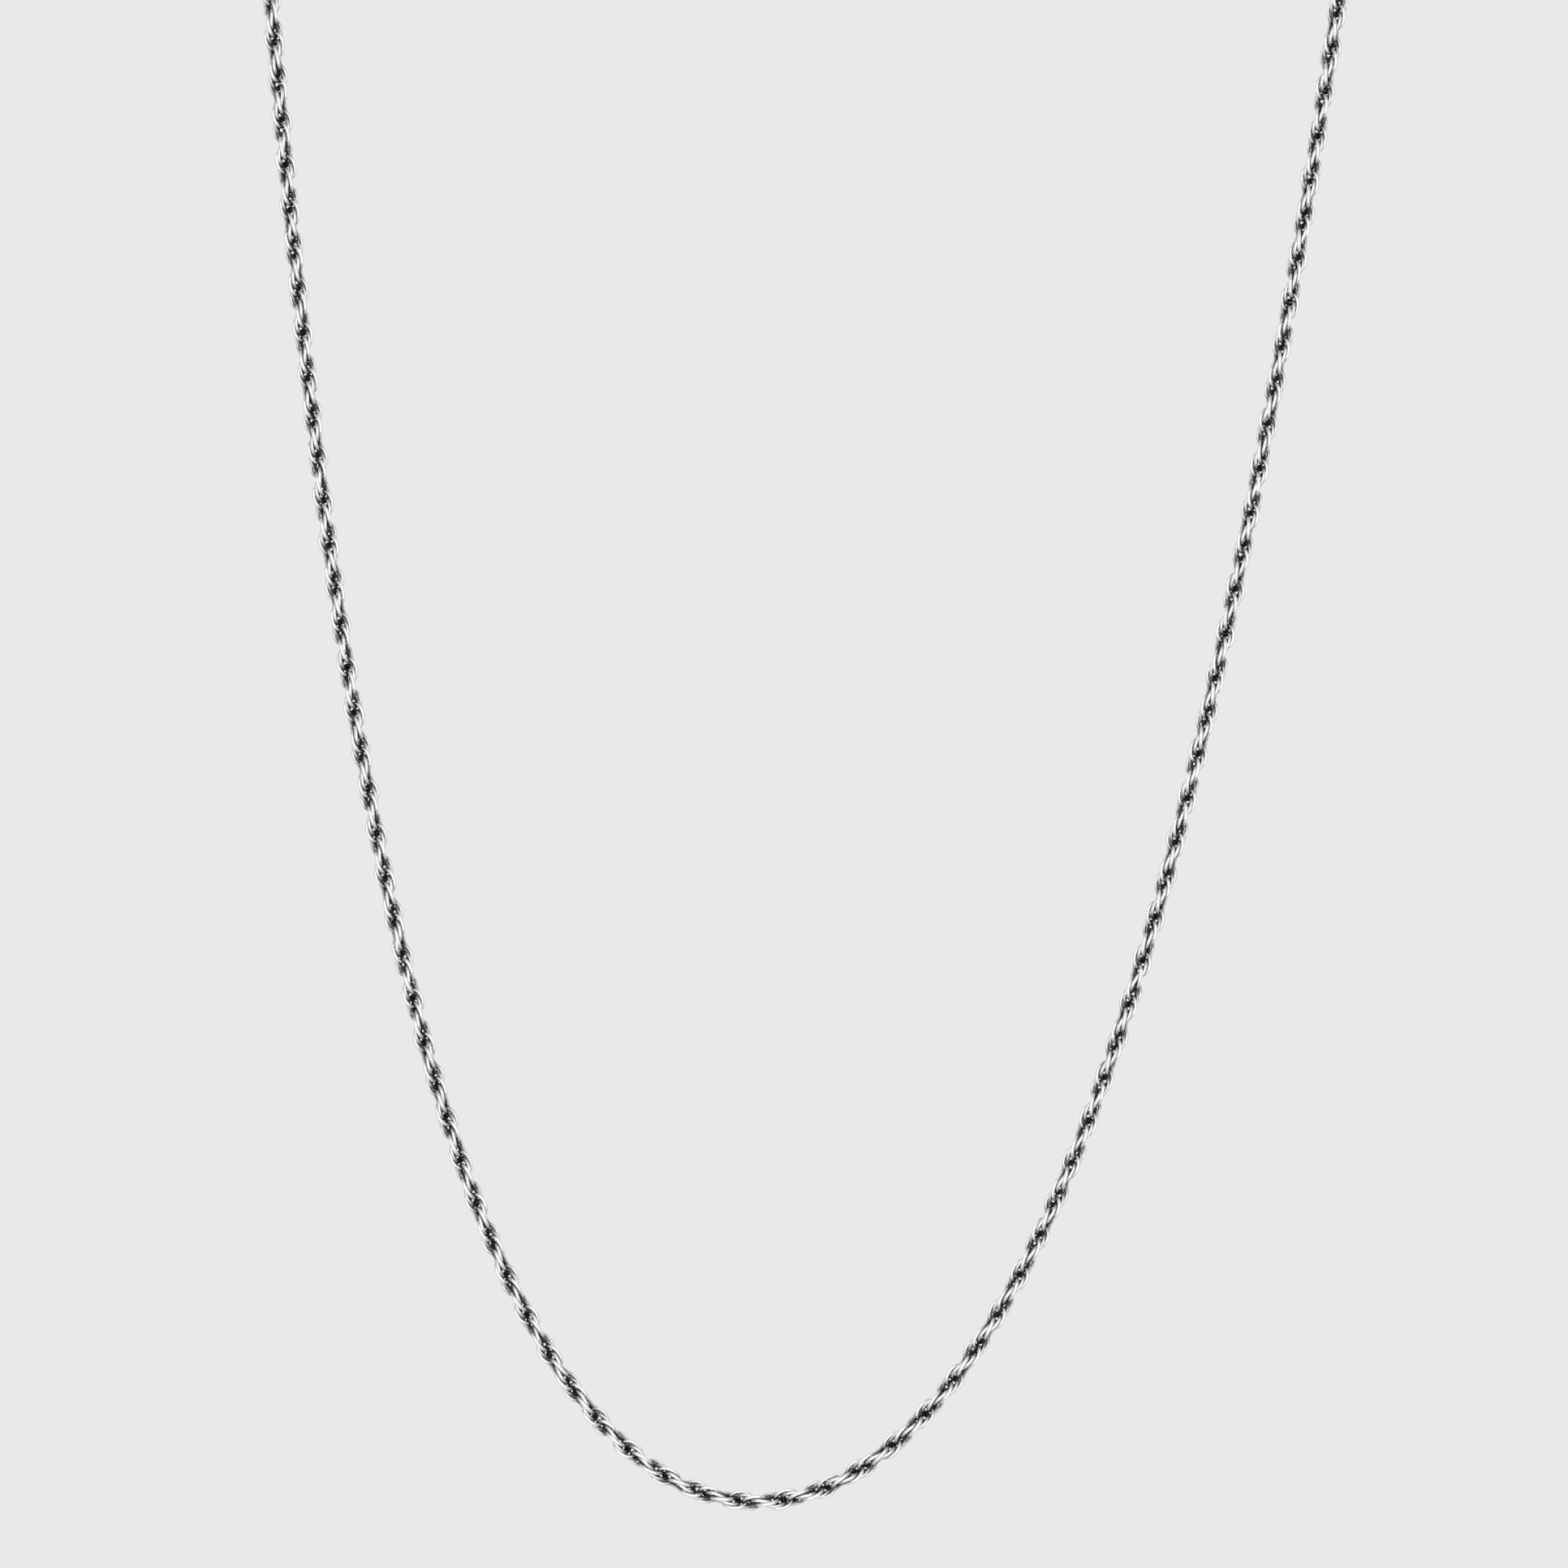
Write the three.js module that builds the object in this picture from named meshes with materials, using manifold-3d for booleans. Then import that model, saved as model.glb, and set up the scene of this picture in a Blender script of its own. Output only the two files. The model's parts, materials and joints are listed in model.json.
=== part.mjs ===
// A 60 cm rope-chain necklace lying open on a flat surface, with its lobster clasp unfastened.
// Millimetres, +Z up. The chain makes a U: the bottom of the U is at low Y, and both ends are at high Y.

import * as THREE from "three";
import { mergeVertices } from "three/addons/utils/BufferGeometryUtils.js";
import Module from "manifold-3d";

const wasm = await Module();
wasm.setup();

// Driving dimensions of the chain
const ROPE_RADIUS = 1.4; // outer radius of the two twisted strands of rings
const SEGMENT_LENGTH = 11.2; // one full turn of the twist, thirteen rings
const SEGMENTS_PER_ARM = 25; // on each side of the one at the bottom of the U
const JOINT_GAP = 0.3; // free space between neighbouring segments
const ROPE_SIDES = 8;

// The U that the chain's axis follows: y = CURVE_RISE * (cosh(x / CURVE_SPREAD) - 1)
const CURVE_RISE = 32.2;
const CURVE_SPREAD = 26.6;
const PATH_STEP = 0.02;

// Round wire rings at the two ends
const EYE_RADIUS = 1.1; // middle of the wire of the small eyes on the caps and the clasp
const EYE_WIRE = 0.35;
const JUMP_RADIUS = 1.75;
const JUMP_WIRE = 0.35;
const JUMP_LEAN = THREE.MathUtils.degToRad(30); // the jump ring leans this far from upright
const CATCH_RADIUS = 2.2;
const CATCH_WIRE = 0.45;
const RING_STEPS = 24;
const WIRE_SIDES = 8;

// The whole chain lies at the height at which the leaning jump ring just touches the surface.
const AXIS_HEIGHT = JUMP_RADIUS * Math.cos(JUMP_LEAN) + JUMP_WIRE;

// End caps: cups soldered over the chain's last rings
const CAP_RADIUS = 1.8;
const CAP_BORE = 1.55;
const CAP_DEPTH = 4.2;
const CAP_SHOULDER = 0.35;
const CAP_TIP = 1.5;
const CAP_SIDES = 24;
const EYE_OVERLAP = 0.25; // how far an eye is sunk into the piece that carries it
const CAP_EYE_AT = CAP_TIP + EYE_RADIUS + EYE_WIRE - EYE_OVERLAP;

// Lobster clasp, in its own frame: its eye's centre at the origin, its hook towards +X
const CLASP_THICKNESS = 2.8;
const CLASP_MIDDLE = 6.3;
const CLASP_HALF_LENGTH = 4.9;
const CLASP_HALF_WIDTH = 3.0;
const MOUTH = { x: 7.4, y: -0.15, halfLength: 2.5, halfWidth: 1.75 };
const NECK = [[0.95, 0.75], [2.6, 1.75]];
const PIVOT = { x: 3.5, y: 0.4 };
const PIN_RADIUS = 0.45;
const PIN_CLEARANCE = 0.06;
const PIN_SIDES = 24;
const OUTLINE_STEPS = 14;

// Trigger lever
const LEVER_THICKNESS = 1.2; // where it sits between the clasp's two cheeks
const GATE_THICKNESS = 2.2;
const LEVER_CLEARANCE = 0.2;
const LEVER_HEEL = 1.15;
const LEVER_HALF_WIDTH = 0.45;
const LEVER_STEPS = 8;
const LEVER_CURVE = [[3.6, 0.9], [6.0, 3.2], [9.0, 1.95]];
const GATE_START = 0.45; // share of the lever's curve where it thickens into the gate
const THUMB_TAB = { x: 4.7, y: 2.75, radius: 0.85 };
const LEVER_TRAVEL = 22; // degrees
const SWEEPS = 3;
const GATE_REACH = 6.3; // the gate's tip and its clearance, from the pivot
const GATE_SECTOR = [-12, 24].map((degrees) => THREE.MathUtils.degToRad(degrees));

// Leaf spring behind the lever's heel
const SPRING_INNER = 1.45;
const SPRING_OUTER = 1.6;
const SPRING_HALF_ANGLE = THREE.MathUtils.degToRad(22);
const POCKET_INNER = 1.3;
const POCKET_OUTER = 1.8;
const POCKET_HALF_ANGLE = THREE.MathUtils.degToRad(26);

function silver(color, roughness) {
  return new THREE.MeshStandardMaterial({ color, roughness, metalness: 1 });
}

function part(name, geometry, color, roughness) {
  const mesh = new THREE.Mesh(geometry, silver(color, roughness));
  mesh.name = name;
  return mesh;
}

// ---- solids for cutting and joining ----

function toSolid(geometry) {
  const bare = geometry.clone();
  bare.deleteAttribute("normal");
  bare.deleteAttribute("uv");
  const merged = mergeVertices(bare, 1e-4);
  const vertProperties = new Float32Array(merged.attributes.position.array);
  const triVerts = new Uint32Array(merged.index.array);
  return new wasm.Manifold(new wasm.Mesh({ numProp: 3, vertProperties, triVerts }));
}

function toGeometry(solid) {
  const mesh = solid.getMesh();
  const geometry = new THREE.BufferGeometry();
  geometry.setAttribute("position", new THREE.BufferAttribute(mesh.vertProperties, 3));
  geometry.setIndex(new THREE.BufferAttribute(mesh.triVerts, 1));
  geometry.computeVertexNormals();
  return geometry;
}

function union(geometries) {
  return geometries.map(toSolid).reduce((whole, next) => whole.add(next));
}

// What is left of a cut body once its loose chips have fallen away
function largestPiece(solid) {
  return solid.decompose().reduce((most, next) => (next.volume() > most.volume() ? next : most));
}

function plate(shape, thickness, curveSegments = OUTLINE_STEPS) {
  const settings = { depth: thickness, bevelEnabled: false, curveSegments };
  return new THREE.ExtrudeGeometry(shape, settings).translate(0, 0, -thickness / 2);
}

function post(radius, height, x, y) {
  const geometry = new THREE.CylinderGeometry(radius, radius, height, PIN_SIDES);
  return geometry.rotateX(Math.PI / 2).translate(x, y, 0);
}

// ---- the U-shaped path ----

function slopeAt(x) {
  return (CURVE_RISE / CURVE_SPREAD) * Math.sinh(x / CURVE_SPREAD);
}

function tracePath(length) {
  const points = [{ x: 0, y: 0, angle: 0 }];
  const steps = Math.ceil(length / PATH_STEP);
  for (let i = 0; i < steps; i += 1) {
    const last = points[i];
    const half = last.x + (Math.cos(last.angle) * PATH_STEP) / 2;
    const x = last.x + PATH_STEP * Math.cos(Math.atan(slopeAt(half)));
    const y = CURVE_RISE * (Math.cosh(x / CURVE_SPREAD) - 1);
    points.push({ x, y, angle: Math.atan(slopeAt(x)) });
  }
  return points;
}

const ARM_LENGTH = (SEGMENTS_PER_ARM + 0.5) * SEGMENT_LENGTH;
const armPath = tracePath(ARM_LENGTH + PATH_STEP);

// Distance s is measured along the chain from the bottom of the U, negative on the left arm.
function pathAt(s) {
  const place = armPath[Math.round(Math.abs(s) / PATH_STEP)];
  const side = s < 0 ? -1 : 1;
  return { x: side * place.x, y: place.y, angle: side * place.angle };
}

// ---- chain segments ----

// One length of chain as a round rod with domed ends that follows the path from one s to another.
function domedRod(from, to) {
  const middleLength = to - from - 2 * ROPE_RADIUS;
  const straight = [0.25, 0.5, 0.75].map((share) => from + ROPE_RADIUS + share * middleLength);
  const dome = [30, 60, 90].map((degrees) => THREE.MathUtils.degToRad(degrees));
  const rise = (angle) => ROPE_RADIUS * (1 - Math.cos(angle));
  const rings = [
    ...dome.map((angle) => ({ s: from + rise(angle), radius: ROPE_RADIUS * Math.sin(angle) })),
    ...straight.map((s) => ({ s, radius: ROPE_RADIUS })),
    ...dome.toReversed().map((angle) => ({ s: to - rise(angle), radius: ROPE_RADIUS * Math.sin(angle) })),
  ];
  const vertices = [];
  for (const { s, radius } of rings) {
    const { x, y, angle } = pathAt(s);
    for (let side = 0; side < ROPE_SIDES; side += 1) {
      const turn = (2 * Math.PI * side) / ROPE_SIDES;
      const across = radius * Math.cos(turn);
      vertices.push(x - across * Math.sin(angle), y + across * Math.cos(angle), radius * Math.sin(turn));
    }
  }
  const first = pathAt(from);
  const last = pathAt(to);
  vertices.push(first.x, first.y, 0, last.x, last.y, 0);
  const firstPole = rings.length * ROPE_SIDES;
  const faces = [];
  for (let side = 0; side < ROPE_SIDES; side += 1) {
    const next = (side + 1) % ROPE_SIDES;
    for (let ring = 0; ring + 1 < rings.length; ring += 1) {
      const here = ring * ROPE_SIDES;
      const beyond = here + ROPE_SIDES;
      faces.push(here + side, here + next, beyond + side);
      faces.push(beyond + side, here + next, beyond + next);
    }
    const lastRing = firstPole - ROPE_SIDES;
    faces.push(firstPole, next, side);
    faces.push(firstPole + 1, lastRing + side, lastRing + next);
  }
  const geometry = new THREE.BufferGeometry();
  geometry.setAttribute("position", new THREE.Float32BufferAttribute(vertices, 3));
  geometry.setIndex(faces);
  geometry.computeVertexNormals();
  return geometry;
}

function chainSegment(name, number) {
  const from = (number - 0.5) * SEGMENT_LENGTH + JOINT_GAP / 2;
  const to = (number + 0.5) * SEGMENT_LENGTH - JOINT_GAP / 2;
  return part(name, domedRod(from, to), 0xd8dadd, 0.2);
}

function chain() {
  const group = new THREE.Group();
  group.position.z = AXIS_HEIGHT;
  group.add(chainSegment("chain_centre", 0));
  for (let number = 1; number <= SEGMENTS_PER_ARM; number += 1) {
    const label = String(number).padStart(2, "0");
    group.add(chainSegment(`chain_left_${label}`, -number));
    group.add(chainSegment(`chain_right_${label}`, number));
  }
  return group;
}

// ---- end caps and rings, in a frame at the chain's end with +X pointing away from the chain ----

function wireRing(radius, wire) {
  return new THREE.TorusGeometry(radius, wire, WIRE_SIDES, RING_STEPS);
}

function endCap(name, eyeTurn) {
  const profile = [
    [0, 0],
    [CAP_BORE, 0],
    [CAP_BORE, -CAP_DEPTH],
    [CAP_RADIUS, -CAP_DEPTH],
    [CAP_RADIUS, CAP_SHOULDER],
  ];
  for (const degrees of [30, 60, 90]) {
    const angle = THREE.MathUtils.degToRad(degrees);
    const along = CAP_SHOULDER + (CAP_TIP - CAP_SHOULDER) * Math.sin(angle);
    profile.push([degrees === 90 ? 0 : CAP_RADIUS * Math.cos(angle), along]);
  }
  const points = profile.map(([radius, along]) => new THREE.Vector2(radius, along));
  const cup = new THREE.LatheGeometry(points, CAP_SIDES).rotateZ(-Math.PI / 2);
  const eye = wireRing(EYE_RADIUS, EYE_WIRE).rotateX(eyeTurn).translate(CAP_EYE_AT, 0, 0);
  return part(name, toGeometry(union([cup, eye])), 0xd2d5d9, 0.22);
}

function endFrame(s) {
  const { x, y, angle } = pathAt(s);
  const frame = new THREE.Group();
  frame.position.set(x, y, AXIS_HEIGHT);
  frame.rotation.z = s < 0 ? angle + Math.PI : angle;
  return frame;
}

// ---- lobster clasp ----

function ellipse({ x, y, halfLength, halfWidth }) {
  return new THREE.Shape().absellipse(x, y, halfLength, halfWidth, 0, 2 * Math.PI);
}

function disc(x, y, radius) {
  return new THREE.Shape().absarc(x, y, radius, 0, 2 * Math.PI);
}

// A band of even width along a curve, from one share of its length to another
function band(curve, from, to, halfWidth, endGrowth) {
  const near = [];
  const far = [];
  for (let i = 0; i <= LEVER_STEPS; i += 1) {
    const share = from + ((to - from) * i) / LEVER_STEPS;
    const point = curve.getPoint(share);
    const along = curve.getTangent(share);
    if (i === 0) point.addScaledVector(along, -endGrowth);
    if (i === LEVER_STEPS) point.addScaledVector(along, endGrowth);
    near.push(new THREE.Vector2(point.x + along.y * halfWidth, point.y - along.x * halfWidth));
    far.push(new THREE.Vector2(point.x - along.y * halfWidth, point.y + along.x * halfWidth));
  }
  return new THREE.Shape([...near, ...far.reverse()]);
}

function ringArc(inner, outer, halfAngle) {
  const shape = new THREE.Shape();
  shape.absarc(PIVOT.x, PIVOT.y, outer, Math.PI - halfAngle, Math.PI + halfAngle, false);
  shape.absarc(PIVOT.x, PIVOT.y, inner, Math.PI + halfAngle, Math.PI - halfAngle, true);
  return shape;
}

// The wedge that the gate's tip passes through as the lever turns
function gateSector() {
  const shape = new THREE.Shape().moveTo(PIVOT.x + LEVER_HEEL, PIVOT.y);
  return shape.absarc(PIVOT.x, PIVOT.y, GATE_REACH, ...GATE_SECTOR, false);
}

// The lever's root and thumb tab, between the cheeks, and its thicker gate, each grown by a clearance
function leverSolid(grow, rootThickness, gateThickness) {
  const curve = new THREE.QuadraticBezierCurve(...LEVER_CURVE.map(([x, y]) => new THREE.Vector2(x, y)));
  const halfWidth = LEVER_HALF_WIDTH + grow;
  return union([
    plate(disc(PIVOT.x, PIVOT.y, LEVER_HEEL + grow), rootThickness, LEVER_STEPS),
    plate(disc(THUMB_TAB.x, THUMB_TAB.y, THUMB_TAB.radius + grow), rootThickness, LEVER_STEPS),
    plate(band(curve, 0, 0.6, halfWidth, grow), rootThickness),
    plate(band(curve, GATE_START, 1, halfWidth, grow), gateThickness),
  ]);
}

function claspLever() {
  const hole = post(PIN_RADIUS + PIN_CLEARANCE, 2 * CLASP_THICKNESS, PIVOT.x, PIVOT.y);
  const lever = leverSolid(0, LEVER_THICKNESS, GATE_THICKNESS).subtract(toSolid(hole));
  return part("clasp_lever", toGeometry(lever), 0xdcdee1, 0.18);
}

function claspBody() {
  const outline = { x: CLASP_MIDDLE, y: 0, halfLength: CLASP_HALF_LENGTH, halfWidth: CLASP_HALF_WIDTH };
  const [[tail, tailWidth], [root, rootWidth]] = NECK;
  const neck = [[tail, -tailWidth], [root, -rootWidth], [root, rootWidth], [tail, tailWidth]];
  const neckShape = new THREE.Shape(neck.map(([x, y]) => new THREE.Vector2(x, y)));
  let body = union([
    plate(ellipse(outline), CLASP_THICKNESS),
    plate(neckShape, CLASP_THICKNESS),
    wireRing(EYE_RADIUS, EYE_WIRE),
  ]);
  const through = 2 * CLASP_THICKNESS;
  const slot = LEVER_THICKNESS + 2 * LEVER_CLEARANCE;
  body = body.subtract(toSolid(plate(ellipse(MOUTH), through)));
  body = body.subtract(toSolid(plate(ringArc(POCKET_INNER, POCKET_OUTER, POCKET_HALF_ANGLE), slot)));
  body = body.subtract(toSolid(post(PIN_RADIUS + PIN_CLEARANCE, through, PIVOT.x, PIVOT.y)));
  body = body.subtract(toSolid(plate(gateSector(), through)));
  for (let sweep = 0; sweep <= SWEEPS; sweep += 1) {
    const swept = leverSolid(LEVER_CLEARANCE, slot, through)
      .translate([-PIVOT.x, -PIVOT.y, 0])
      .rotate([0, 0, (-LEVER_TRAVEL * sweep) / SWEEPS])
      .translate([PIVOT.x, PIVOT.y, 0]);
    body = body.subtract(swept);
  }
  return part("clasp_body", toGeometry(largestPiece(body)), 0xd6d8dc, 0.2);
}

function clasp() {
  const group = new THREE.Group();
  group.add(claspBody());
  group.add(claspLever());
  group.add(part("clasp_pin", post(PIN_RADIUS, CLASP_THICKNESS, PIVOT.x, PIVOT.y), 0xc9ccd1, 0.25));
  const leaf = plate(ringArc(SPRING_INNER, SPRING_OUTER, SPRING_HALF_ANGLE), LEVER_THICKNESS);
  group.add(part("clasp_spring", leaf, 0xb9bcc2, 0.35));
  return group;
}

// ---- the two ends ----

function claspEnd() {
  const frame = endFrame(-ARM_LENGTH);
  frame.add(endCap("left_end_cap", 0));
  const ring = part("jump_ring", wireRing(JUMP_RADIUS, JUMP_WIRE), 0xd2d5d9, 0.22);
  ring.rotation.x = Math.PI / 2 - JUMP_LEAN;
  ring.position.x = CAP_EYE_AT + JUMP_RADIUS;
  frame.add(ring);
  const hook = clasp();
  hook.position.x = CAP_EYE_AT + 2 * JUMP_RADIUS;
  frame.add(hook);
  return frame;
}

function catchEnd() {
  const frame = endFrame(ARM_LENGTH);
  frame.add(endCap("right_end_cap", Math.PI / 2));
  const ring = part("catch_ring", wireRing(CATCH_RADIUS, CATCH_WIRE), 0xd2d5d9, 0.22);
  ring.position.x = CAP_EYE_AT + CATCH_RADIUS;
  frame.add(ring);
  return frame;
}

const necklace = new THREE.Group();
necklace.add(chain(), claspEnd(), catchEnd());

// The origin is the middle of the necklace's outline, on the surface it lies on.
const outlineBox = new THREE.Box3().setFromObject(necklace, true);
const middle = outlineBox.getCenter(new THREE.Vector3());
necklace.position.set(-middle.x, -middle.y, -outlineBox.min.z);

export default necklace;
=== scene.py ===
import json
import math
import bpy
import numpy as np
from mathutils import Matrix, Vector


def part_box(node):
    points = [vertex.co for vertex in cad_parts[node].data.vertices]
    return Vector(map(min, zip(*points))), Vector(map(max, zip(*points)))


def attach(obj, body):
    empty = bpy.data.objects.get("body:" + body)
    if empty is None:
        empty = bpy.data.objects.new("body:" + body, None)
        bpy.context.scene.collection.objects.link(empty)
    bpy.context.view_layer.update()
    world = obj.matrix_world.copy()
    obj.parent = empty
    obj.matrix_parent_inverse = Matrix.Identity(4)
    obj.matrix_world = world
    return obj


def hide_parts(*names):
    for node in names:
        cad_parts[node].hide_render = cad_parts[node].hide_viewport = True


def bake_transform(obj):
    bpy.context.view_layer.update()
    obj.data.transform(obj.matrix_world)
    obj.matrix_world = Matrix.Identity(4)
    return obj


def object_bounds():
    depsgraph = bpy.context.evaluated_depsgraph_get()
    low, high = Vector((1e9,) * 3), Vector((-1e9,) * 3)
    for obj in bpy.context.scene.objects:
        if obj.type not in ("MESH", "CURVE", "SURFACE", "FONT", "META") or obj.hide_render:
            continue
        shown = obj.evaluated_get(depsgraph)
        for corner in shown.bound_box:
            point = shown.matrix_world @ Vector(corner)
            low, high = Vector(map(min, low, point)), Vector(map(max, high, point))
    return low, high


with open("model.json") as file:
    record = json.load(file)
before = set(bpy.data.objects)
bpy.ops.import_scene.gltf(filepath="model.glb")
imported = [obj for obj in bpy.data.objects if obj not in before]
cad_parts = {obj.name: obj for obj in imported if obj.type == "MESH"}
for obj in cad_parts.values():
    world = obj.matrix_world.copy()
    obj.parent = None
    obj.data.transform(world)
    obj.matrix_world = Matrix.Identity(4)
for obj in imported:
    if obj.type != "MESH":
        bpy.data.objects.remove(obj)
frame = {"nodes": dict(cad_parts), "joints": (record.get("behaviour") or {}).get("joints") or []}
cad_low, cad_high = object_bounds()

# A silver rope chain necklace lying flat in a U. Lengths are in millimetres until MM turns them into metres.
# Those of the materials, the floor, the lamp and the camera's place are in metres.
MM = 0.001
UP = np.array([0.0, 0.0, 1.0])

# the rope: oval wire rings linked through the ones before them, every other one set out to the opposite side
TURN_LENGTH = 11.2
RINGS_PER_TURN = 13
RING_PITCH = TURN_LENGTH / RINGS_PER_TURN
WIRE_RADIUS = 0.238
# a ring's half width and length, to the middle of its wire, and its centre's distance from the rope's axis
RING_ACROSS = 1.055
RING_ALONG = 1.54
RING_SET_OUT = 0.118
RING_SLANT = math.radians(7.5)
RING_LEAN = math.radians(12.0)
ROPE_RADIUS = RING_SET_OUT + RING_ACROSS + WIRE_RADIUS
TWIST_AT_BOTTOM = math.radians(23.0)
SEGMENTS_PER_ARM = 25
HALF_ROPE = (SEGMENTS_PER_ARM + 0.5) * TURN_LENGTH
EYE_BEYOND_ROPE = 2.7
# the rings this near a hinge, on either side, get shares of the next segment's motion between 0 and 1
BEND_ZONE = 3.0
# the last ring's centre stays this far inside the rope's end
CAP_CLEARANCE = 1.45

# how far rings differ from each other
TILT_SPREAD = math.radians(2.0)
TURN_SPREAD = math.radians(2.0)
SHIFT_SPREAD = 0.02

# facets
RING_STEPS = 48
WIRE_STEPS = 12
FITTING_STEPS = 96
FITTING_WIRE_STEPS = 24
EYE_STEPS = 64
RIVET_STEPS = 48

# a ring's soldered joint: angles from its middle, and the wire's thickness at the inner two of them
SEAM_ANGLES = (-0.06, -0.02, 0.02, 0.06)
SEAM_WAIST = 0.92

rng = np.random.default_rng(19)
joints = {joint["name"]: joint for joint in frame["joints"]}


def unit(vector):
    vector = np.asarray(vector, float)
    return vector / np.linalg.norm(vector)


def joint_point(name):
    return np.array(joints[name]["pos_m"]) / MM


# ---------------------------------------------------------------- the rope's centre line

def hinge_name(side, number):
    family = "side" if number % 2 else "lift"
    return f"{side}_{family}_{number:02d}"


def body_name(side, number):
    return f"chain_{side}_{number:02d}" if number else "chain_centre"


def centre_line_knots():
    """Distances along the rope from the bottom of the U, left negative, and the points there."""
    arm = range(1, SEGMENTS_PER_ARM + 1)
    far = [(number - 0.5) * TURN_LENGTH for number in arm] + [HALF_ROPE + EYE_BEYOND_ROPE]
    right = [joint_point(hinge_name("right", number)) for number in arm] + [joint_point("catch_ring_fold")]
    left = [joint_point(hinge_name("left", number)) for number in arm] + [joint_point("clasp_lift")]
    distances = np.array([-d for d in reversed(far)] + far)
    return distances, np.array(left[::-1] + right)


def natural_spline(x, y):
    """Second derivatives of the cubic spline through the points, zero at both ends."""
    n = len(x)
    step = np.diff(x)
    system = np.eye(n)
    rhs = np.zeros_like(y)
    for i in range(1, n - 1):
        system[i, i - 1:i + 2] = step[i - 1], 2 * (step[i - 1] + step[i]), step[i]
        rhs[i] = 6 * ((y[i + 1] - y[i]) / step[i] - (y[i] - y[i - 1]) / step[i - 1])
    return np.linalg.solve(system, rhs)


knot_at, knot_point = centre_line_knots()
knot_bend = natural_spline(knot_at, knot_point)


def rope_point(distance):
    """Point and unit tangent of the rope's centre line."""
    i = int(np.clip(np.searchsorted(knot_at, distance) - 1, 0, len(knot_at) - 2))
    h = knot_at[i + 1] - knot_at[i]
    b = (distance - knot_at[i]) / h
    a = 1 - b
    point = a * knot_point[i] + b * knot_point[i + 1]
    point = point + ((a ** 3 - a) * knot_bend[i] + (b ** 3 - b) * knot_bend[i + 1]) * h * h / 6
    slope = (knot_point[i + 1] - knot_point[i]) / h
    slope = slope + ((3 * b * b - 1) * knot_bend[i + 1] - (3 * a * a - 1) * knot_bend[i]) * h / 6
    return point, unit(slope)


# ---------------------------------------------------------------- mesh helpers

def add_mesh(name, points, quads, smooth=True, attributes=()):
    """A new object from points in millimetres and an array of quads."""
    mesh = bpy.data.meshes.new(name)
    mesh.vertices.add(len(points))
    mesh.vertices.foreach_set("co", (np.asarray(points) * MM).astype(np.float32).ravel())
    quads = np.asarray(quads, np.int32)
    mesh.loops.add(quads.size)
    mesh.loops.foreach_set("vertex_index", quads.ravel())
    mesh.polygons.add(len(quads))
    mesh.polygons.foreach_set("loop_start", np.arange(len(quads), dtype=np.int32) * 4)
    mesh.polygons.foreach_set("use_smooth", np.full(len(quads), smooth))
    mesh.update(calc_edges=True)
    for label, values in attributes:
        layer = mesh.attributes.new(label, "FLOAT", "POINT")
        layer.data.foreach_set("value", np.asarray(values, np.float32))
    piece = bpy.data.objects.new(name, mesh)
    bpy.context.scene.collection.objects.link(piece)
    return piece


def tube_quads(rows, columns, start=0, closed_rows=True):
    """Quads of a grid of points that closes on itself along its columns, and along its rows if asked."""
    row = np.arange(rows if closed_rows else rows - 1)[:, None]
    column = np.arange(columns)[None, :]
    next_row = (row + 1) % rows
    next_column = (column + 1) % columns
    corners = [row * columns + column, next_row * columns + column,
               next_row * columns + next_column, row * columns + next_column]
    return np.stack(np.broadcast_arrays(*corners), -1).reshape(-1, 4) + start


def seamed_angles(steps, seam_at):
    """Angles round a ring, closer together at its joint, and the wire's thickness at each."""
    free = np.arange(1, steps) * 2 * math.pi / steps
    angles = np.sort(np.concatenate([SEAM_ANGLES, free]))
    thickness = np.ones(len(angles))
    outer, inner = np.abs(SEAM_ANGLES[:2])
    thickness[np.abs(angles) < (outer + inner) / 2] = SEAM_WAIST
    return angles + seam_at, thickness


def ring_points(centre, first, second, reach, wire, steps, wire_steps, seam_at):
    """Points of a wire ring in the plane of two unit directions, reach being its half length along each."""
    angles, thickness = seamed_angles(steps, seam_at)
    normal = np.cross(first, second)
    cosine = np.cos(angles)[:, None]
    sine = np.sin(angles)[:, None]
    line = reach[0] * cosine * first + reach[1] * sine * second
    forward = reach[1] * cosine * second - reach[0] * sine * first
    forward = forward / np.linalg.norm(forward, axis=1)[:, None]
    out = np.cross(forward, normal)
    turn = np.arange(wire_steps) * 2 * math.pi / wire_steps
    spread = wire * thickness[:, None] * np.cos(turn)[None, :]
    rise = wire * thickness[:, None] * np.sin(turn)[None, :]
    skin = out[:, None, :] * spread[:, :, None] + normal * rise[:, :, None]
    return (centre + line[:, None, :] + skin).reshape(-1, 3)


def turn_about(vector, axis, angle):
    along_axis = axis * (axis @ vector) * (1 - math.cos(angle))
    return vector * math.cos(angle) + np.cross(axis, vector) * math.sin(angle) + along_axis


# ---------------------------------------------------------------- materials

# the silver's textures, in features per metre, and what each does
PATCH_SCALE = 2600.0
PATCH_STRENGTH = 0.30
SMEAR_SCALE = 420.0
SMEAR_TONE = 0.93
SCUFF_SCALE = 3400.0
SCUFF_ROUGHNESS = 0.14
SCRATCH_SCALE = 5200.0
SCRATCH_STRENGTH = 0.25
SCRATCH_DEPTH = 0.000012
# the recesses, where the silver's colour is darkened as painted shade: their roughness above the skin's, and
# how much of the bright colour is left halfway down
RECESS_ROUGHNESS = 0.42
HALFWAY_BRIGHT = 0.55
# the spring strip's lines, in features per metre
STRIP_SCALE = 2500.0


def node_tree(name):
    material = bpy.data.materials.new(name)
    material.use_nodes = True
    return material, material.node_tree, material.node_tree.nodes["Principled BSDF"]


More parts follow.
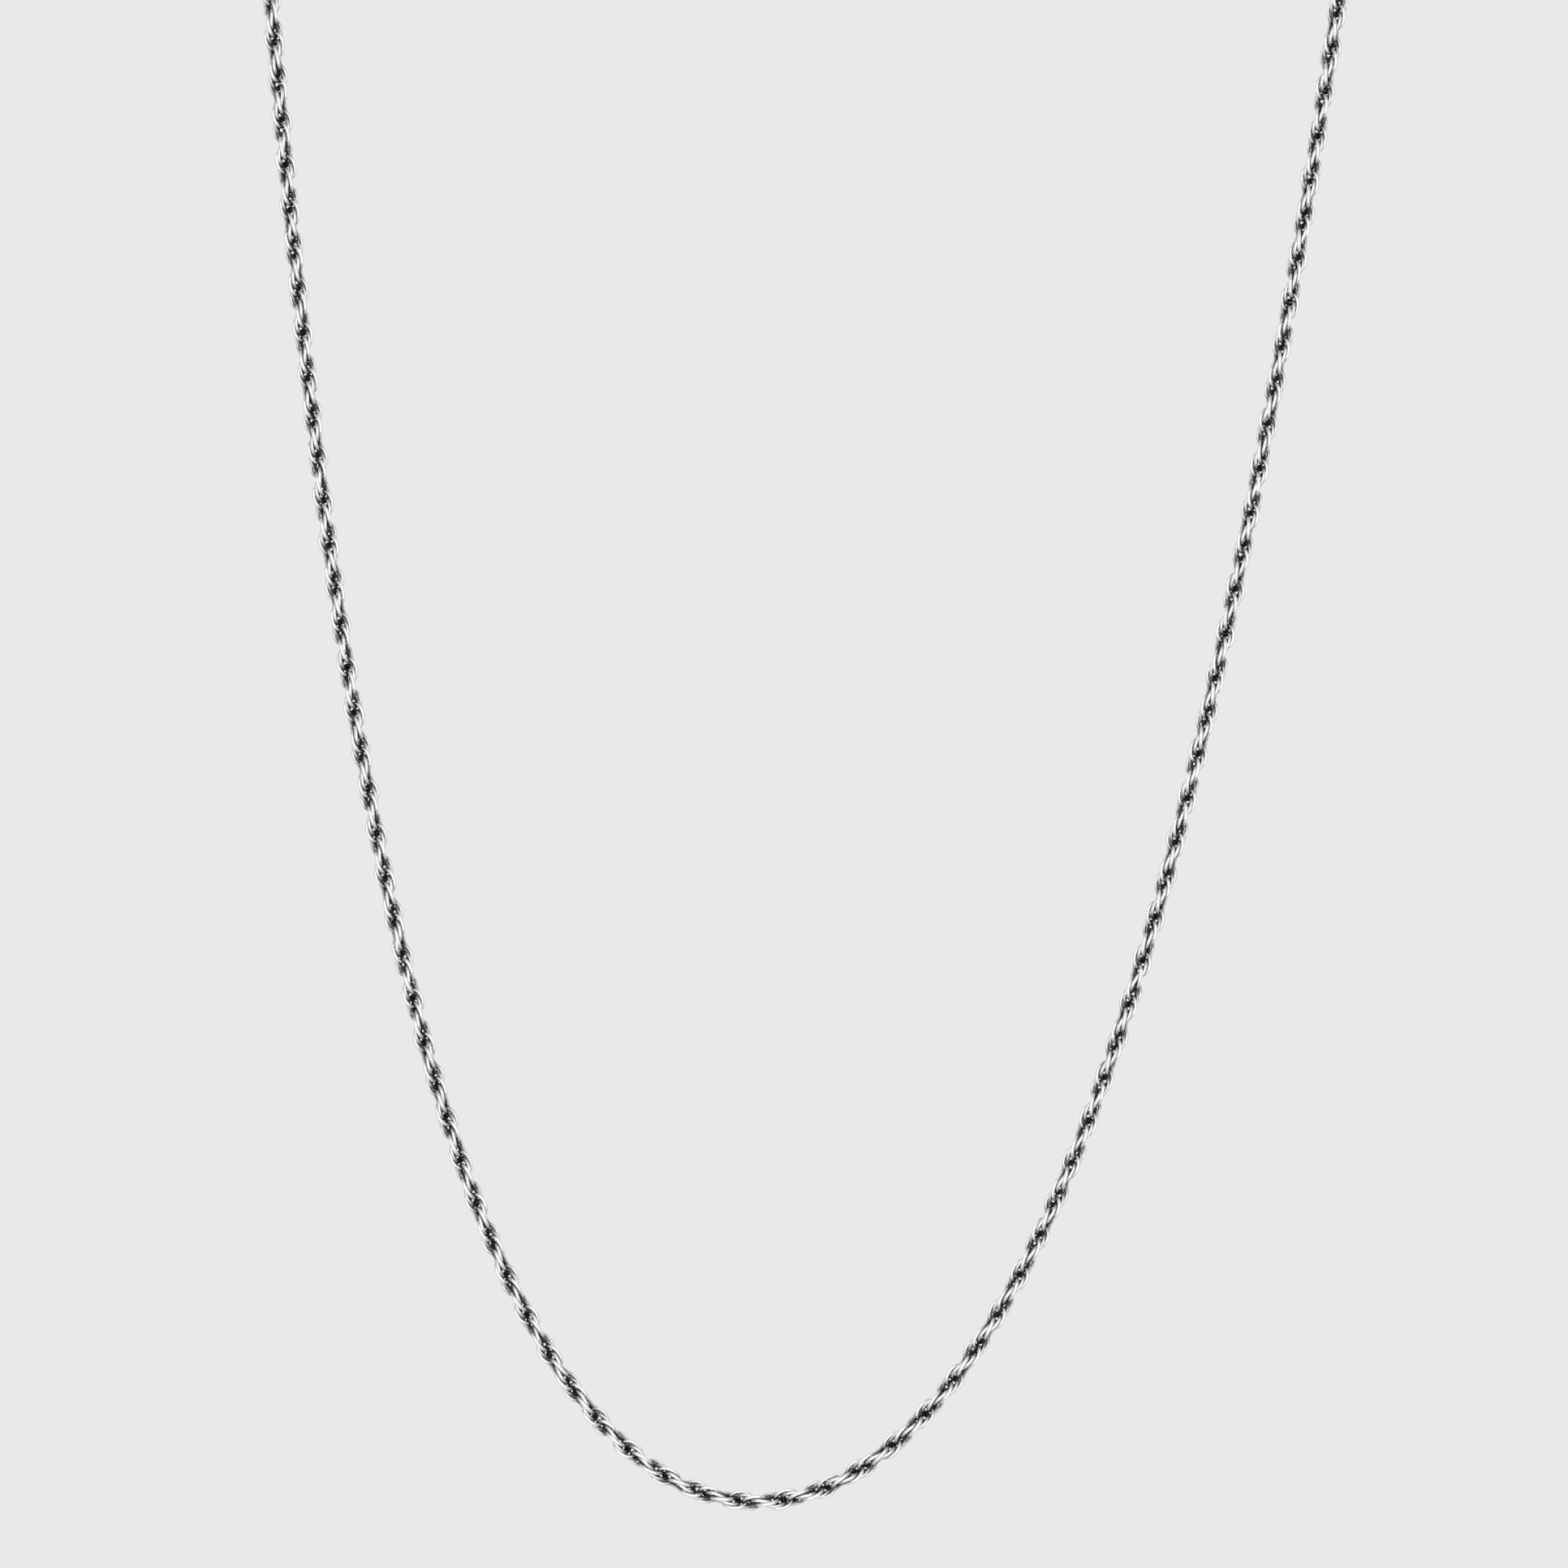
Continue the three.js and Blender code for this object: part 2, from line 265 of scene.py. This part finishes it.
def noise(tree, scale, detail, roughness, stretch=(1.0, 1.0, 1.0)):
    """Fractal noise in the model's own frame, scale in features per metre."""
    where = tree.nodes.new("ShaderNodeTexCoord")
    mapping = tree.nodes.new("ShaderNodeMapping")
    mapping.inputs["Scale"].default_value = stretch
    texture = tree.nodes.new("ShaderNodeTexNoise")
    texture.inputs["Scale"].default_value = scale
    texture.inputs["Detail"].default_value = detail
    texture.inputs["Roughness"].default_value = roughness
    tree.links.new(where.outputs["Object"], mapping.inputs["Vector"])
    tree.links.new(mapping.outputs["Vector"], texture.inputs["Vector"])
    return texture.outputs["Fac"]


def ramp(tree, source, stops):
    """A colour ramp from (position, colour) stops."""
    node = tree.nodes.new("ShaderNodeValToRGB")
    elements = node.color_ramp.elements
    while len(elements) < len(stops):
        elements.new(0.5)
    for element, (position, colour) in zip(elements, stops):
        element.position = position
        element.color = (*colour, 1.0) if isinstance(colour, tuple) else (colour, colour, colour, 1.0)
    tree.links.new(source, node.inputs["Fac"])
    return node.outputs["Color"]


def arithmetic(tree, operation, first, second):
    node = tree.nodes.new("ShaderNodeMath")
    node.operation = operation
    for socket, value in zip(node.inputs, (first, second)):
        if isinstance(value, (int, float)):
            socket.default_value = value
        else:
            tree.links.new(value, socket)
    return node.outputs["Value"]


def silver(name, bright, recess_shade, recess_from, recess_to, polish):
    """Polished silver with painted shade in its recesses, faint smears and fine scratches.

    It takes the dark colour, painted shade, where the height attribute is below recess_from, and the bright
    colour above recess_to. polish is the roughness of its smoothest places.
    """
    material, tree, shader = node_tree(name)
    shader.inputs["Metallic"].default_value = 1.0
    height = tree.nodes.new("ShaderNodeAttribute")
    height.attribute_name = "height"
    patches = noise(tree, PATCH_SCALE, detail=3.0, roughness=0.55)
    uneven = arithmetic(tree, "MULTIPLY", arithmetic(tree, "SUBTRACT", patches, 0.5), PATCH_STRENGTH)
    level = arithmetic(tree, "ADD", height.outputs["Fac"], uneven)
    halfway_colour = tuple(HALFWAY_BRIGHT * b + (1 - HALFWAY_BRIGHT) * t for b, t in zip(bright, recess_shade))
    halfway = 0.5 * (recess_from + recess_to)
    # painted shade: the colour darkens to near black where the height attribute is low, in the recesses
    colour = ramp(tree, level, [(recess_from, recess_shade), (halfway, halfway_colour), (recess_to, bright)])
    smears = noise(tree, SMEAR_SCALE, detail=4.0, roughness=0.6)
    cloud = ramp(tree, smears, [(0.35, SMEAR_TONE), (0.65, 1.0)])
    mix = tree.nodes.new("ShaderNodeMix")
    mix.data_type = "RGBA"
    mix.blend_type = "MULTIPLY"
    mix.inputs["Factor"].default_value = 1.0
    tree.links.new(colour, mix.inputs["A"])
    tree.links.new(cloud, mix.inputs["B"])
    tree.links.new(mix.outputs["Result"], shader.inputs["Base Color"])
    dull = ramp(tree, level, [(recess_from, RECESS_ROUGHNESS), (recess_to, 0.0)])
    streaks = noise(tree, SCUFF_SCALE, detail=5.0, roughness=0.65, stretch=(1.0, 0.35, 1.0))
    scuffs = ramp(tree, streaks, [(0.40, polish), (0.72, polish + SCUFF_ROUGHNESS)])
    rough = arithmetic(tree, "ADD", dull, scuffs)
    tree.links.new(rough, shader.inputs["Roughness"])
    scratches = noise(tree, SCRATCH_SCALE, detail=6.0, roughness=0.7, stretch=(1.0, 0.25, 1.0))
    bump = tree.nodes.new("ShaderNodeBump")
    bump.inputs["Strength"].default_value = SCRATCH_STRENGTH
    bump.inputs["Distance"].default_value = SCRATCH_DEPTH
    tree.links.new(scratches, bump.inputs["Height"])
    tree.links.new(bump.outputs["Normal"], shader.inputs["Normal"])
    return material


rope_silver = silver("rope_silver", bright=(0.95, 0.95, 0.955), recess_shade=(0.06, 0.06, 0.061),
                     recess_from=0.36, recess_to=0.86, polish=0.11)
# the fittings and the clasp are the same silver as the rope; their darker bright colours are painted shade,
# which dims their reflections of the lamp against the pale floor
fitting_silver = silver("fitting_silver", bright=(0.70, 0.702, 0.71), recess_shade=(0.10, 0.098, 0.095),
                        recess_from=0.30, recess_to=0.80, polish=0.09)
clasp_silver = silver("clasp_silver", bright=(0.58, 0.582, 0.59), recess_shade=(0.08, 0.078, 0.075),
                      recess_from=0.30, recess_to=0.85, polish=0.15)


def spring_steel():
    """Rolled spring strip: darker grey with fine lines along its length."""
    material, tree, shader = node_tree("spring_steel")
    shader.inputs["Metallic"].default_value = 1.0
    lines = noise(tree, STRIP_SCALE, detail=5.0, roughness=0.7, stretch=(1.0, 1.0, 9.0))
    colour = ramp(tree, lines, [(0.3, (0.42, 0.43, 0.45)), (0.7, (0.60, 0.61, 0.63))])
    rough = ramp(tree, lines, [(0.3, 0.38), (0.7, 0.24)])
    tree.links.new(colour, shader.inputs["Base Color"])
    tree.links.new(rough, shader.inputs["Roughness"])
    return material


# ---------------------------------------------------------------- the rope

def smooth_step(x):
    x = min(1.0, max(0.0, x))
    return x * x * (3 - 2 * x)


def rope_ring(distance):
    """One ring of the rope: its points, and how far each lies from the centre line, 1 at the rope's skin,
    which sets the painted shade on its inner wires.
    """
    draw = rng.normal(size=4)
    axis_point, along = rope_point(distance + SHIFT_SPREAD * draw[0])
    left = np.cross(UP, along)
    opposite = round(distance / RING_PITCH - 0.5) % 2
    twist = TWIST_AT_BOTTOM + 2 * math.pi * distance / TURN_LENGTH + math.pi * opposite
    twist += TURN_SPREAD * draw[1]
    out = math.cos(twist) * left + math.sin(twist) * UP
    side = np.cross(along, out)
    slanted = turn_about(along, out, RING_SLANT + TILT_SPREAD * draw[2])
    leaning = turn_about(out, slanted, RING_LEAN)
    centre = axis_point + RING_SET_OUT * out + SHIFT_SPREAD * draw[3] * side
    seam_at = math.pi / 2 if rng.random() < 0.5 else -math.pi / 2
    reach = (RING_ACROSS, RING_ALONG)
    points = ring_points(centre, leaning, slanted, reach, WIRE_RADIUS, RING_STEPS, WIRE_STEPS, seam_at)
    # the distance from the centre line is the height attribute, which paints shade on the wires inside the
    # rope
    offset = points - axis_point
    offset = offset - np.outer(offset @ along, along)
    return points, np.linalg.norm(offset, axis=1) / ROPE_RADIUS


def rope_piece(name, distances, follow=None):
    """Linked rings at these distances along the rope, and each point's share of the second body's motion."""
    points, quads, heights, shares = [], [], [], []
    start = 0
    for distance in distances:
        ring, height = rope_ring(distance)
        points.append(ring)
        heights.append(height)
        quads.append(tube_quads(len(ring) // WIRE_STEPS, WIRE_STEPS, start))
        shares.append(np.full(len(ring), follow(distance) if follow else 0.0))
        start += len(ring)
    attributes = [("height", np.concatenate(heights))]
    piece = add_mesh(name, np.concatenate(points), np.concatenate(quads), attributes=attributes)
    piece.data.materials.append(rope_silver)
    return piece, np.concatenate(shares)


def rope_over_hinge(side, number):
    """The rings from one segment's middle to the next one's, over the hinge."""
    sign = -1.0 if side == "left" else 1.0
    first = (number - 1) * TURN_LENGTH
    distances = [sign * (first + (i + 0.5) * RING_PITCH) for i in range(RINGS_PER_TURN)]
    hinge_at = sign * (number - 0.5) * TURN_LENGTH

    def follow(distance):
        return smooth_step((sign * (distance - hinge_at) + BEND_ZONE) / (2 * BEND_ZONE))

    piece, shares = rope_piece(f"rope_{side}_{number:02d}", distances, follow)
    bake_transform(piece)
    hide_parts(body_name(side, number))
    if number == 1:
        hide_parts("chain_centre")


def rope_end(side):
    """The last rings, which run into the end cap."""
    sign = -1.0 if side == "left" else 1.0
    first = SEGMENTS_PER_ARM * TURN_LENGTH
    count = int((HALF_ROPE - CAP_CLEARANCE - first) / RING_PITCH + 0.5)
    distances = [sign * (first + (i + 0.5) * RING_PITCH) for i in range(count)]
    piece, _ = rope_piece(f"rope_{side}_end", distances)
    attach(piece, body_name(side, SEGMENTS_PER_ARM))


for side in ("left", "right"):
    for number in range(1, SEGMENTS_PER_ARM + 1):
        rope_over_hinge(side, number)
    rope_end(side)


# ---------------------------------------------------------------- end caps and rings

# the cap's mouth, measured from the rope's end, and its radii
CAP_MOUTH = -4.2
CAP_BORE = 1.55
CAP_SKIN = 1.74
CAP_GROOVE = 1.69
# the height attribute in its grooves and its bore, where the silver's colour paints shade
CAP_RECESS_HEIGHT = 0.15
# a turned piece is never thinner than this, so that no point falls on the axis
TIP_RADIUS = 0.004
EYE_RADIUS = 1.1
EYE_WIRE = 0.35


def oval_arc(place, radius, half_length, half_depth, start, end, steps):
    """(place, radius) points round an oval, from its rope side at angle 0, over its outer side, to pi."""
    angles = np.linspace(start, end, steps)
    return [(place - half_length * math.cos(a), radius + half_depth * math.sin(a)) for a in angles]


def cap_profile():
    """(place beyond the rope's end, radius) from the bore's bottom, round the mouth, to the dome's tip."""
    quarter = math.pi / 2
    bore = [(0.0, 0.0), (0.0, 1.2), (-0.1, 1.45), (-0.3, CAP_BORE), (CAP_MOUTH + 0.35, CAP_BORE)]
    lip = oval_arc(CAP_MOUTH + 0.28, 1.66, 0.26, 0.13, -quarter, quarter, 13)
    mouth_groove = [(CAP_MOUTH + 0.62, CAP_SKIN), (CAP_MOUTH + 0.68, CAP_GROOVE),
                    (CAP_MOUTH + 0.80, CAP_GROOVE), (CAP_MOUTH + 0.86, CAP_SKIN)]
    band = [(-3.2, 1.755), (-2.2, 1.765), (-1.2, 1.755), (-0.72, CAP_SKIN)]
    shoulder_groove = [(-0.66, CAP_GROOVE), (-0.54, CAP_GROOVE), (-0.48, CAP_SKIN)]
    shoulder_bead = oval_arc(-0.24, 1.68, 0.20, 0.10, 0.3, math.pi - 0.2, 9)
    dome = oval_arc(-0.02, 0.42, 1.5, 1.24, quarter + 0.05, math.pi, 20)
    collar = [(1.52, 0.38), (1.62, 0.3), (1.66, 0.15), (1.67, 0.0)]
    return bore + lip + mouth_groove + band + shoulder_groove + shoulder_bead + dome + collar


def cap_heights(profile):
    """The height attribute of a cap: 1 on its outside and low in its grooves and its bore, where it paints
    shade into the silver's colour.
    """
    heights = []
    for place, radius in profile:
        in_bore = radius <= CAP_BORE and place <= 0.0
        heights.append(CAP_RECESS_HEIGHT if in_bore or radius == CAP_GROOVE else 1.0)
    return np.repeat(heights, FITTING_STEPS)


def lathe(profile, origin, axis, across, steps):
    """A turned piece with a closed skin: (place, radius) points swept round the axis through origin."""
    third = np.cross(axis, across)
    angles = np.arange(steps) * 2 * math.pi / steps
    around = np.cos(angles)[:, None] * across + np.sin(angles)[:, None] * third
    rows = [origin + axis * place + around * max(radius, TIP_RADIUS) for place, radius in profile]
    skin = tube_quads(len(profile), steps, closed_rows=False)
    first_end = end_quads(0, steps)
    last_end = end_quads((len(profile) - 1) * steps, steps)[:, ::-1]
    return np.concatenate(rows), np.concatenate([skin, first_end, last_end])


def end_quads(start, steps):
    """A strip of quads that fills the ring of points from start on."""
    i = np.arange(steps // 2 - 1)[:, None]
    return start + np.concatenate([i, i + 1, steps - 2 - i, steps - 1 - i], 1)


def end_cap(side, eye_flat):
    """A beaded cup over the rope's last rings, with a soldered eye."""
    sign = -1.0 if side == "left" else 1.0
    origin, along = rope_point(sign * HALF_ROPE)
    along = sign * along
    across = np.cross(UP, along)
    profile = cap_profile()
    cup, cup_quads = lathe(profile, origin, along, across, FITTING_STEPS)
    eye_centre = origin + along * EYE_BEYOND_ROPE
    second = across if eye_flat else UP
    reach = (EYE_RADIUS, EYE_RADIUS)
    eye = ring_points(eye_centre, along, second, reach, EYE_WIRE, EYE_STEPS, FITTING_WIRE_STEPS, math.pi)
    eye_quads = tube_quads(len(eye) // FITTING_WIRE_STEPS, FITTING_WIRE_STEPS, len(cup))
    heights = np.concatenate([cap_heights(profile), np.ones(len(eye))])
    piece = add_mesh(f"{side}_cap", np.concatenate([cup, eye]), np.concatenate([cup_quads, eye_quads]),
                     attributes=[("height", heights)])
    piece.data.materials.append(fitting_silver)
    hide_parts(f"{side}_end_cap")
    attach(piece, body_name(side, SEGMENTS_PER_ARM))
    return along


left_along = end_cap("left", eye_flat=True)
right_along = end_cap("right", eye_flat=False)


def wire_ring(name, node, body, first, second, radius, wire, seam_at):
    """A soldered round wire ring at a CAD ring's place, in the plane of two unit directions."""
    low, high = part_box(node)
    centre = np.array((low + high) / 2) / MM
    reach = (radius, radius)
    points = ring_points(centre, first, second, reach, wire, FITTING_STEPS, FITTING_WIRE_STEPS, seam_at)
    quads = tube_quads(len(points) // FITTING_WIRE_STEPS, FITTING_WIRE_STEPS)
    piece = add_mesh(name, points, quads, attributes=[("height", np.ones(len(points)))])
    piece.data.materials.append(fitting_silver)
    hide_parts(node)
    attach(piece, body)


JUMP_RADIUS = 1.75
JUMP_WIRE = 0.35
CATCH_RADIUS = 2.2
CATCH_WIRE = 0.45
jump_across = unit(joints["clasp_swing"]["axis"])
catch_across = np.cross(UP, right_along)
wire_ring("clasp_jump_ring", "jump_ring", "jump_ring", left_along, jump_across,
          radius=JUMP_RADIUS, wire=JUMP_WIRE, seam_at=math.pi / 2)
wire_ring("tag_ring", "catch_ring", "catch_ring", right_along, catch_across,
          radius=CATCH_RADIUS, wire=CATCH_WIRE, seam_at=math.pi / 3)


# ---------------------------------------------------------------- the clasp

# the voxel size of the cast pieces' skin, and the rounds of smoothing that wear their edges
CAST_GRAIN = 0.07
HOOK_WEAR = 30
LEVER_WEAR = 16
# the blur and strength of the painted shade in the cast pieces' hollow corners
CAVITY_BLUR = 6
CAVITY_STRENGTH = 9.0
# the rivet's domes: their height, and how far inside the pin's ends they start
RIVET_CROWN = 0.12
RIVET_EDGE = 0.1


def cast_piece(name, node, body, wear_rounds):
    """A cast and tumbled copy of a clasp node: its skin is remeshed finely and its edges are worn round."""
    source = frame["nodes"][node]
    mesh = source.data.copy()
    mesh.transform(Matrix.Scale(1 / MM, 4))
    mesh.materials.clear()
    rough = bpy.data.objects.new(name + "_rough", mesh)
    bpy.context.scene.collection.objects.link(rough)
    remesh = rough.modifiers.new("remesh", "REMESH")
    remesh.mode = "VOXEL"
    remesh.voxel_size = CAST_GRAIN
    remesh.adaptivity = 0.0
    wear = rough.modifiers.new("wear", "SMOOTH")
    wear.factor = 0.5
    wear.iterations = wear_rounds
    evaluated = rough.evaluated_get(bpy.context.evaluated_depsgraph_get())
    fine = bpy.data.meshes.new_from_object(evaluated)
    bpy.data.objects.remove(rough)
    bpy.data.meshes.remove(mesh)
    fine.name = name
    fine.transform(Matrix.Scale(MM, 4))
    fine.polygons.foreach_set("use_smooth", np.full(len(fine.polygons), True))
    add_cavity(fine)
    piece = bpy.data.objects.new(name, fine)
    bpy.context.scene.collection.objects.link(piece)
    piece.data.materials.append(clasp_silver)
    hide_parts(node)
    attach(piece, body)


def add_cavity(mesh):
    """The height attribute of a cast piece: low in its hollow corners, where it paints shade into the
    silver's colour, 1 elsewhere.
    """
    count = len(mesh.vertices)
    place = np.zeros(count * 3)
    mesh.vertices.foreach_get("co", place)
    place = place.reshape(-1, 3)
    normal = np.zeros(count * 3)
    mesh.vertices.foreach_get("normal", normal)
    normal = normal.reshape(-1, 3)
    edges = np.zeros(len(mesh.edges) * 2, np.int32)
    mesh.edges.foreach_get("vertices", edges)
    one, two = edges.reshape(-1, 2).T
    degree = np.bincount(one, minlength=count) + np.bincount(two, minlength=count)

    def around(values):
        total = np.zeros_like(values)
        np.add.at(total, one, values[two])
        np.add.at(total, two, values[one])
        return total / np.maximum(degree, 1).reshape(-1, *[1] * (values.ndim - 1))

    length = np.linalg.norm(place[one] - place[two], axis=1).mean()
    hollow = np.einsum("ij,ij->i", around(place) - place, normal) / length
    for _ in range(CAVITY_BLUR):
        hollow = 0.5 * hollow + 0.5 * around(hollow)
    layer = mesh.attributes.new("height", "FLOAT", "POINT")
    layer.data.foreach_set("value", np.clip(1.0 - CAVITY_STRENGTH * hollow, 0.0, 1.0).astype(np.float32))


cast_piece("clasp_hook", "clasp_body", "clasp", HOOK_WEAR)
cast_piece("clasp_trigger_lever", "clasp_lever", "clasp_lever", LEVER_WEAR)


def rivet():
    """The lever's pin, its ends peened into low domes."""
    low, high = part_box("clasp_pin")
    low = np.array(low) / MM
    high = np.array(high) / MM
    centre = (low + high) / 2
    radius = (high[0] - low[0]) / 2
    edge = (high[2] - low[2]) / 2 - RIVET_EDGE
    top = oval_arc(edge, 0.0, RIVET_CROWN, radius, math.pi / 2, math.pi, 10)
    bottom = [(-place, r) for place, r in reversed(top)]
    points, quads = lathe(bottom + top, centre, UP, np.array([1.0, 0.0, 0.0]), RIVET_STEPS)
    piece = add_mesh("clasp_rivet", points, quads, attributes=[("height", np.ones(len(points)))])
    piece.data.materials.append(clasp_silver)
    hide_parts("clasp_pin")
    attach(piece, "clasp")


rivet()
spring = frame["nodes"]["clasp_spring"]
spring.data.materials.clear()
spring.data.materials.append(spring_steel())


# ---------------------------------------------------------------- floor, light and camera

# the background's tone, and the tone of the surround that the metal reflects
PALE = 0.815
SURROUND = 0.66
FLOOR_DROP = 0.30
FLOOR_HALF = 12.0
LAMP_HEIGHT = 0.60
LAMP_WIDTH = 0.92
LAMP_DEPTH = 1.00
LAMP_RADIANCE = 0.82
# the lens, in millimetres
LENS_LENGTH = 100.0
SENSOR_WIDTH = 36.0
# what the camera takes in, its turn about the vertical, and where it aims from the bottom of the U
VIEW_WIDTH = 0.2081
VIEW_LEAN = math.radians(1.97)
AIM_FROM_BOTTOM = (0.0011, 0.0953, 0.0)


def pale_floor():
    """A plain pale floor, well below the chain so that every pose of it stays clear."""
    half = FLOOR_HALF / MM
    drop = -FLOOR_DROP / MM
    corners = [(-half, -half, drop), (half, -half, drop), (half, half, drop), (-half, half, drop)]
    floor = add_mesh("floor", corners, [(0, 1, 2, 3)], smooth=False)
    material = bpy.data.materials.new("pale_floor")
    material.use_nodes = True
    tree = material.node_tree
    tree.nodes.remove(tree.nodes["Principled BSDF"])
    glow = tree.nodes.new("ShaderNodeEmission")
    glow.inputs["Color"].default_value = (PALE, PALE, PALE, 1.0)
    tree.links.new(glow.outputs["Emission"], tree.nodes["Material Output"].inputs["Surface"])
    floor.data.materials.append(material)
    floor.visible_shadow = False


def overhead_lamp():
    """A large soft box over the necklace's middle, unseen by the camera."""
    lamp = bpy.data.lights.new("overhead", "AREA")
    lamp.shape = "RECTANGLE"
    lamp.size = LAMP_WIDTH
    lamp.size_y = LAMP_DEPTH
    lamp.energy = LAMP_RADIANCE * math.pi * LAMP_WIDTH * LAMP_DEPTH
    holder = bpy.data.objects.new("overhead", lamp)
    bpy.context.scene.collection.objects.link(holder)
    middle = (cad_low + cad_high) / 2
    holder.location = (middle.x, middle.y, LAMP_HEIGHT)
    holder.rotation_mode = "QUATERNION"
    holder.rotation_quaternion = Vector((0.0, 0.0, -LAMP_HEIGHT)).to_track_quat("-Z", "Y")
    holder.visible_camera = False


def pale_world():
    """The surround: the floor's tone where the camera sees it, a little darker where the metal does."""
    world = bpy.data.worlds.new("studio")
    bpy.context.scene.world = world
    world.use_nodes = True
    tree = world.node_tree
    background = tree.nodes["Background"]
    background.inputs["Color"].default_value = (1.0, 1.0, 1.0, 1.0)
    path = tree.nodes.new("ShaderNodeLightPath")
    strength = arithmetic(tree, "MULTIPLY", path.outputs["Is Camera Ray"], PALE - SURROUND)
    tree.links.new(arithmetic(tree, "ADD", strength, SURROUND), background.inputs["Strength"])


def main_camera():
    """Straight above the lower part of the U, turned so that the necklace leans a little to the right."""
    lens = bpy.data.cameras.new("camera")
    lens.lens = LENS_LENGTH
    lens.sensor_width = SENSOR_WIDTH
    lens.clip_start = 0.01
    lens.clip_end = 50.0
    camera = bpy.data.objects.new("camera", lens)
    bpy.context.scene.collection.objects.link(camera)
    low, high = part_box("chain_centre")
    bottom = Vector(((low.x + high.x) / 2, low.y + ROPE_RADIUS * MM, (low.z + high.z) / 2))
    aim = bottom + Vector(AIM_FROM_BOTTOM)
    distance = VIEW_WIDTH * LENS_LENGTH / SENSOR_WIDTH
    camera.location = aim + Vector((0.0, 0.0, distance))
    camera.rotation_mode = "XYZ"
    camera.rotation_euler = (0.0, 0.0, VIEW_LEAN)
    bpy.context.scene.camera = camera


pale_floor()
overhead_lamp()
pale_world()
main_camera()
bpy.context.scene.view_settings.view_transform = "Standard"
